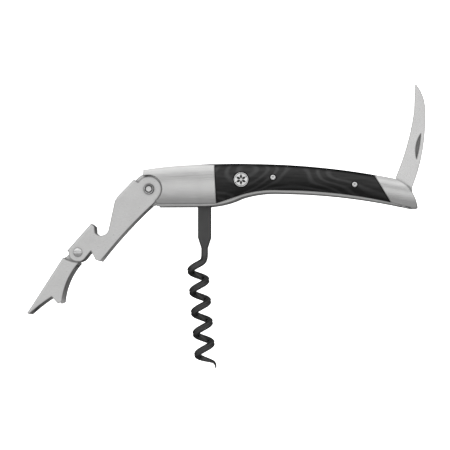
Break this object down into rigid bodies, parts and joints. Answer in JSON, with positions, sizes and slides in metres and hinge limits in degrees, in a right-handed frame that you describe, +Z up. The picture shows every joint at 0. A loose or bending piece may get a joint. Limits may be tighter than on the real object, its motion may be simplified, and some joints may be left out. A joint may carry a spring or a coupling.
{
  "type": "waiters corkscrew",
  "caption": "Folding waiter's corkscrew with a two-step lever and cap lifter, coated worm, foil blade and dark scales between steel bolsters.",
  "frame": {"origin": "centre of the worm's pivot pin, on the handle's middle plane", "axes": "+X along the handle towards the tail, +Z up with the worm hanging down, +Y across the handle"},
  "size_m": [0.1788, 0.0164, 0.1252],
  "materials": {
    "satin_steel": "satin brushed stainless",
    "polished_steel": "polished rivet heads",
    "blade_steel": "fine satin blade steel",
    "hardened_steel": "ground spring steel",
    "bronze": "plain bronze washer",
    "scale_laminate": "dark layered laminate, satin",
    "worm_coating": "black low-friction coating, semi-matte"
  },
  "bodies": {
    "handle": {"back_spacer": "satin_steel", "blade_pin": "hardened_steel", "blade_washers": "bronze", "head_block": "satin_steel", "left_front_bolster": "satin_steel", "left_front_scale_pin": "polished_steel", "left_liner": "satin_steel", "left_rear_scale_pin": "polished_steel", "left_rosette": "polished_steel", "left_scale": "scale_laminate", "left_tail_bolster": "satin_steel", "right_front_bolster": "satin_steel", "right_front_scale_pin": "polished_steel", "right_liner": "satin_steel", "right_rear_scale_pin": "polished_steel", "right_rosette": "polished_steel", "right_scale": "scale_laminate", "right_tail_bolster": "satin_steel", "spring_rivet": "hardened_steel", "worm_pin": "hardened_steel", "worm_washers": "bronze"},
    "lever_rivet": {"lever_pin": "polished_steel", "lever_washers": "bronze"},
    "lever": {"lever": "satin_steel", "foot_pin": "polished_steel"},
    "foot": {"foot": "satin_steel"},
    "worm": {"worm": "worm_coating"},
    "blade": {"blade": "blade_steel"},
    "worm_spring": {"worm_spring": "hardened_steel"}
  },
  "joints": [
    {"name": "lever_swing", "type": "hinge", "parent": "handle", "child": "lever_rivet", "pos_m": [-0.0247, 0, 0.00396], "axis": [0, -1, 0], "range_deg": [-38, 48.6]},
    {"name": "lever_close", "type": "hinge", "parent": "lever_rivet", "child": "lever", "pos_m": [-0.0247, 0, 0.00396], "axis": [0, -1, 0], "range_deg": [0, 76]},
    {"name": "foot_pivot", "type": "hinge", "parent": "lever", "child": "foot", "pos_m": [-0.05688, 0, -0.02441], "axis": [0, 1, 0], "range_deg": [-70, 3]},
    {"name": "worm_fold", "type": "hinge", "parent": "handle", "child": "worm", "pos_m": [0, 0, 0], "axis": [0, -1, 0], "range_deg": [0, 87.5]},
    {"name": "blade_fold", "type": "hinge", "parent": "handle", "child": "blade", "pos_m": [0.0901, 0, 0.0025], "axis": [0, -1, 0], "range_deg": [-88, 86]},
    {"name": "worm_spring_flex", "type": "hinge", "parent": "handle", "child": "worm_spring", "pos_m": [0.0314, 0, 0.007], "axis": [0, 1, 0], "range_deg": [0, 1.2]}
  ],
  "couplings": [
    {"joint": "lever_close", "follows": "worm_fold", "ratio": 0.8685}
  ]
}
